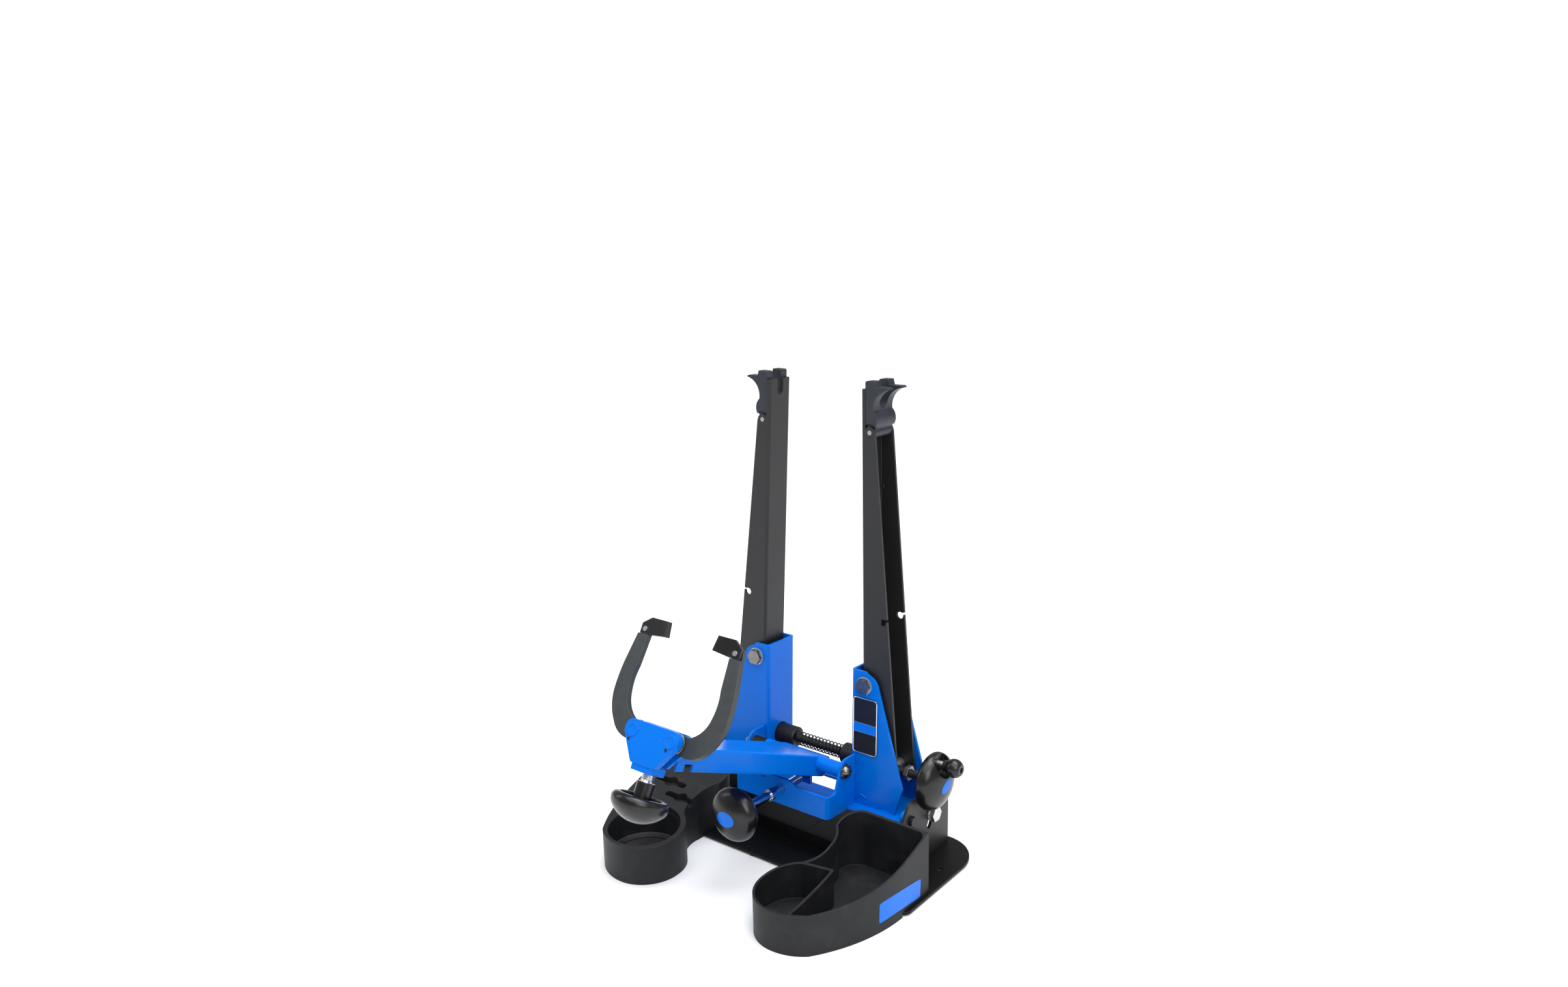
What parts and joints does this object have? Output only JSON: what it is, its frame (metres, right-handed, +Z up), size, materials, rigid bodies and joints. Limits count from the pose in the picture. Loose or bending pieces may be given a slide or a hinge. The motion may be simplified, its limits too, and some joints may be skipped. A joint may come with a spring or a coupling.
{
  "type": "wheel truing stand",
  "caption": "Bench stand that holds a bicycle wheel by its axle between two crank spread uprights, with a screw tilted caliper arm and a base with parts trays",
  "frame": {"origin": "on the bench surface, midway between the two side bench holes, under the axle line", "axes": "+Z up, +X to the crank side along the axle, -Y to the front where the caliper arm points"},
  "size_m": [0.375, 0.3785, 0.5384],
  "materials": {
    "painted_blue": "satin powder coat",
    "painted_black": "satin powder coat",
    "tray_plastic": "fine grained moulding",
    "knob_plastic": "gloss moulding",
    "adaptor_plastic": "satin moulding",
    "caliper_metal": "grey cast and coated",
    "zinc": "zinc plated",
    "chrome": "polished plating",
    "dark_nickel": "black nickel plating",
    "steel": "turned steel",
    "black_steel": "black oxide",
    "rubber": "moulded rubber",
    "badge": "bare badge plate"
  },
  "bodies": {
    "base": {"base_plate_left": "painted_black", "base_plate_right": "painted_black", "cheek_left": "painted_black", "cheek_right": "painted_black", "cross_wall": "painted_black", "rubber_feet": "rubber", "hold_down_screws": "black_steel", "tilt_pivot_bolts": "black_steel", "tray_left": "tray_plastic", "tray_right": "tray_plastic"},
    "stand": {"cradle": "painted_blue", "front_channel": "painted_blue", "bracket_left": "painted_blue", "bracket_right": "painted_blue", "label_plate": "badge", "upright_bolts": "dark_nickel", "upright_washers": "zinc", "upright_nuts": "zinc", "upright_spacers": "zinc", "lock_bolts": "zinc", "lock_washers": "zinc", "arm_pivot_rod": "dark_nickel", "arm_pivot_buttons": "dark_nickel", "arm_star_washers": "dark_nickel", "arm_spring": "black_steel", "lift_bushing": "zinc", "main_spring": "black_steel"},
    "crank": {"main_shaft": "black_steel", "shaft_nut": "zinc", "crank_knob": "knob_plastic", "spinner_stem": "steel"},
    "spinner": {"spinner": "knob_plastic"},
    "nut_left": {"barrel_nut_left": "zinc", "collar_left": "black_steel"},
    "nut_right": {"barrel_nut_right": "zinc", "collar_right": "black_steel"},
    "upright_left": {"upright_left": "painted_black", "adaptor_pin_left": "steel"},
    "upright_right": {"upright_right": "painted_black", "adaptor_pin_right": "steel"},
    "adaptor_left": {"axle_adaptor_left": "adaptor_plastic"},
    "adaptor_right": {"axle_adaptor_right": "adaptor_plastic"},
    "arm": {"arm_channel": "painted_blue", "arm_tube": "painted_blue", "arm_lug": "painted_blue", "caliper_head": "painted_blue", "head_back": "painted_blue", "caliper_pins": "chrome"},
    "lift_screw": {"lift_screw": "steel"},
    "lift_knob": {"lift_knob": "knob_plastic"},
    "caliper_left": {"caliper_arm_left": "caliper_metal", "caliper_tip_left": "knob_plastic", "tip_screw_left": "chrome"},
    "caliper_right": {"caliper_arm_right": "caliper_metal", "caliper_tip_right": "knob_plastic", "tip_screw_right": "chrome"},
    "caliper_stem": {"caliper_stem": "chrome"},
    "caliper_knob": {"caliper_knob": "knob_plastic"}
  },
  "joints": [
    {"name": "stand_tilt", "type": "hinge", "parent": "base", "child": "stand", "pos_m": [0, -0.0184, 0.0627], "axis": [-1, 0, 0], "range_deg": [0, 19]},
    {"name": "upright_right", "type": "hinge", "parent": "stand", "child": "upright_right", "pos_m": [0.077, 0.01453, 0.20177], "axis": [0, 0.9992, -0.041], "range_deg": [-4.3, 4.6], "deforming": ["main_spring"]},
    {"name": "upright_left", "type": "hinge", "parent": "stand", "child": "upright_left", "pos_m": [-0.077, 0.01453, 0.20177], "axis": [0, 0.9992, -0.041], "range_deg": [-4.6, 4.3]},
    {"name": "nut_right", "type": "slide", "parent": "stand", "child": "nut_right", "axis": [1, 0, 0], "range_m": [-0.00799, 0.00747]},
    {"name": "nut_left", "type": "slide", "parent": "stand", "child": "nut_left", "axis": [1, 0, 0], "range_m": [-0.00747, 0.00799]},
    {"name": "crank_turn", "type": "hinge", "parent": "stand", "child": "crank", "pos_m": [0, 0.01045, 0.10235], "axis": [1, 0, 0], "range_deg": [-1080, 1153]},
    {"name": "spinner_turn", "type": "hinge", "parent": "crank", "child": "spinner", "pos_m": [0.175, 0.01135, 0.12433], "axis": [1, 0, 0], "continuous": true},
    {"name": "arm_swing", "type": "hinge", "parent": "stand", "child": "arm", "pos_m": [0, -0.03492, 0.10651], "axis": [1, 0, 0], "range_deg": [-40, 4]},
    {"name": "lift_slide", "type": "slide", "parent": "stand", "child": "lift_screw", "axis": [0, 0.9992, -0.041], "range_m": [-0.02228, 0.00224]},
    {"name": "lift_spin", "type": "hinge", "parent": "lift_screw", "child": "lift_knob", "pos_m": [0, -0.13753, 0.0814], "axis": [0, 0.9992, -0.041], "range_deg": [-4015, 405]},
    {"name": "caliper_left", "type": "hinge", "parent": "arm", "child": "caliper_left", "pos_m": [-0.0254, -0.25495, 0.21449], "axis": [0, -0.863, 0.5053], "range_deg": [-11, 8]},
    {"name": "caliper_right", "type": "hinge", "parent": "arm", "child": "caliper_right", "pos_m": [0.0254, -0.25495, 0.21449], "axis": [0, -0.863, 0.5053], "range_deg": [-8, 11]},
    {"name": "caliper_slide", "type": "slide", "parent": "arm", "child": "caliper_stem", "axis": [0, 0.5053, 0.863], "range_m": [-0.00399, 0.00548]},
    {"name": "caliper_spin", "type": "hinge", "parent": "caliper_stem", "child": "caliper_knob", "pos_m": [0, -0.28211, 0.16178], "axis": [0, 0.5053, 0.863], "range_deg": [-720, 990]},
    {"name": "adaptor_left", "type": "hinge", "parent": "upright_left", "child": "adaptor_left", "pos_m": [-0.07349, 0.02605, 0.48253], "axis": [0, -0.9992, 0.041], "range_deg": [0, 75]},
    {"name": "adaptor_right", "type": "hinge", "parent": "upright_right", "child": "adaptor_right", "pos_m": [0.07349, 0.02605, 0.48253], "axis": [0, 0.9992, -0.041], "range_deg": [0, 75]}
  ],
  "couplings": [
    {"joint": "upright_left", "follows": "upright_right", "ratio": -1},
    {"joint": "nut_right", "follows": "upright_right", "m_per_rad": -0.0995},
    {"joint": "nut_left", "follows": "upright_right", "m_per_rad": 0.0995},
    {"joint": "crank_turn", "follows": "upright_right", "ratio": 250.07},
    {"joint": "lift_slide", "follows": "arm_swing", "m_per_rad": 0.0319},
    {"joint": "lift_spin", "follows": "arm_swing", "ratio": 100.22},
    {"joint": "caliper_left", "follows": "caliper_right", "ratio": -1},
    {"joint": "caliper_slide", "follows": "caliper_right", "m_per_rad": 0.0285},
    {"joint": "caliper_spin", "follows": "caliper_right", "ratio": 89.535}
  ]
}
